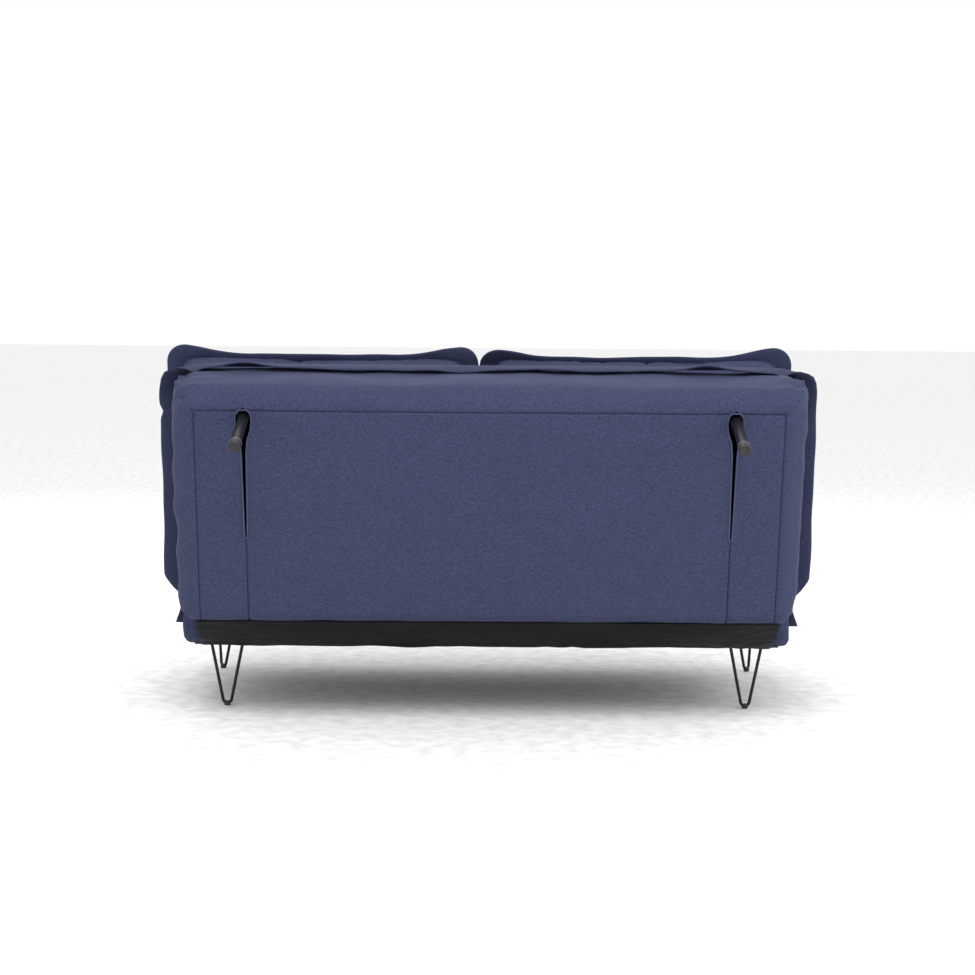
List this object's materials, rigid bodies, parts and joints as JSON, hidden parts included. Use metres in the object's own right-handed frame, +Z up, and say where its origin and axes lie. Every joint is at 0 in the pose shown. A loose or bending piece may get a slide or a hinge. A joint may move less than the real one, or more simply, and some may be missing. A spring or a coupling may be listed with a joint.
{
  "type": "sofa bed",
  "caption": "Armless two-seat sofa bed on hairpin legs, with a fold-down back on hinged plates, swing-out support legs and loose flanged back cushions.",
  "frame": {"origin": "on the floor under the middle of the sofa's overall box, sofa position", "axes": "+X to one side along the width, the sofa faces -Y, +Z up"},
  "size_m": [1.59, 1.2168, 0.9138],
  "materials": {
    "panel_fabric": "matte",
    "cover_fabric": "matte",
    "cushion_fabric": "matte",
    "flange_fabric": "matte",
    "black_lining": "satin",
    "foam": "matte",
    "zip_tape": "matte",
    "holder_plastic": "matte",
    "slat_wood": "satin",
    "frame_steel": "satin",
    "cap_plastic": "satin",
    "fastener_steel": "satin",
    "hinge_steel": "satin",
    "leg_steel": "satin",
    "tube_steel": "satin"
  },
  "bodies": {
    "backrest": {"back_cover": "cover_fabric", "back_flange": "flange_fabric", "back_foam": "foam", "back_rail_left": "frame_steel", "back_rail_low": "frame_steel", "back_rail_right": "frame_steel", "back_rail_top": "frame_steel", "back_rear_panel": "panel_fabric", "back_side_foam_left": "foam", "back_side_foam_right": "foam", "back_slat_holders": "holder_plastic", "back_slats": "slat_wood", "back_top_foam": "foam", "hinge_plate_left": "hinge_steel", "hinge_plate_right": "hinge_steel", "slit_welts": "cover_fabric", "support_bracket_left": "hinge_steel", "support_bracket_right": "hinge_steel", "support_pins": "fastener_steel"},
    "base": {"base_lining": "black_lining", "hinge_arm_left": "hinge_steel", "hinge_arm_right": "hinge_steel", "hinge_bolts": "fastener_steel", "hinge_lining": "black_lining", "hinge_nuts": "fastener_steel", "hinge_stop_pins": "fastener_steel", "leg_bolts": "fastener_steel", "leg_front_left": "leg_steel", "leg_front_right": "leg_steel", "leg_rear_left": "leg_steel", "leg_rear_right": "leg_steel", "leg_sole_pads": "cap_plastic", "rail_end_plugs": "holder_plastic", "seat_cover": "cover_fabric", "seat_flange": "flange_fabric", "seat_foam": "foam", "seat_front_foam": "foam", "seat_rail_front": "frame_steel", "seat_rail_left": "frame_steel", "seat_rail_rear": "frame_steel", "seat_rail_right": "frame_steel", "seat_side_foam_left": "foam", "seat_side_foam_right": "foam", "seat_slat_holders": "holder_plastic", "seat_slats": "slat_wood"},
    "back_cushion_left": {"cushion_cover_left": "cushion_fabric", "cushion_filling_left": "foam", "cushion_flange_left": "flange_fabric", "cushion_zip_left": "zip_tape"},
    "back_cushion_right": {"cushion_cover_right": "cushion_fabric", "cushion_filling_right": "foam", "cushion_flange_right": "flange_fabric", "cushion_zip_right": "zip_tape"},
    "support_leg_left": {"support_cap_left": "cap_plastic", "support_tube_left": "tube_steel"},
    "support_leg_right": {"support_cap_right": "cap_plastic", "support_tube_right": "tube_steel"}
  },
  "joints": [
    {"name": "backrest_fold", "type": "hinge", "parent": "base", "child": "backrest", "pos_m": [0, 0.17356, 0.345], "axis": [-1, 0, 0], "range_deg": [0, 77], "deforming": ["hinge_lining"]},
    {"name": "support_leg_left_swing", "type": "hinge", "parent": "backrest", "child": "support_leg_left", "pos_m": [-0.574, 0.38684, 0.7576], "axis": [1, 0, 0], "range_deg": [-85, 5]},
    {"name": "support_leg_right_swing", "type": "hinge", "parent": "backrest", "child": "support_leg_right", "pos_m": [0.574, 0.38684, 0.7576], "axis": [1, 0, 0], "range_deg": [-85, 5]},
    {"name": "cushion_left_lift", "type": "slide", "parent": "backrest", "child": "back_cushion_left", "axis": [0, 0.225, 0.9744], "range_m": [0, 0.35]},
    {"name": "cushion_right_lift", "type": "slide", "parent": "backrest", "child": "back_cushion_right", "axis": [0, 0.225, 0.9744], "range_m": [0, 0.35]}
  ]
}
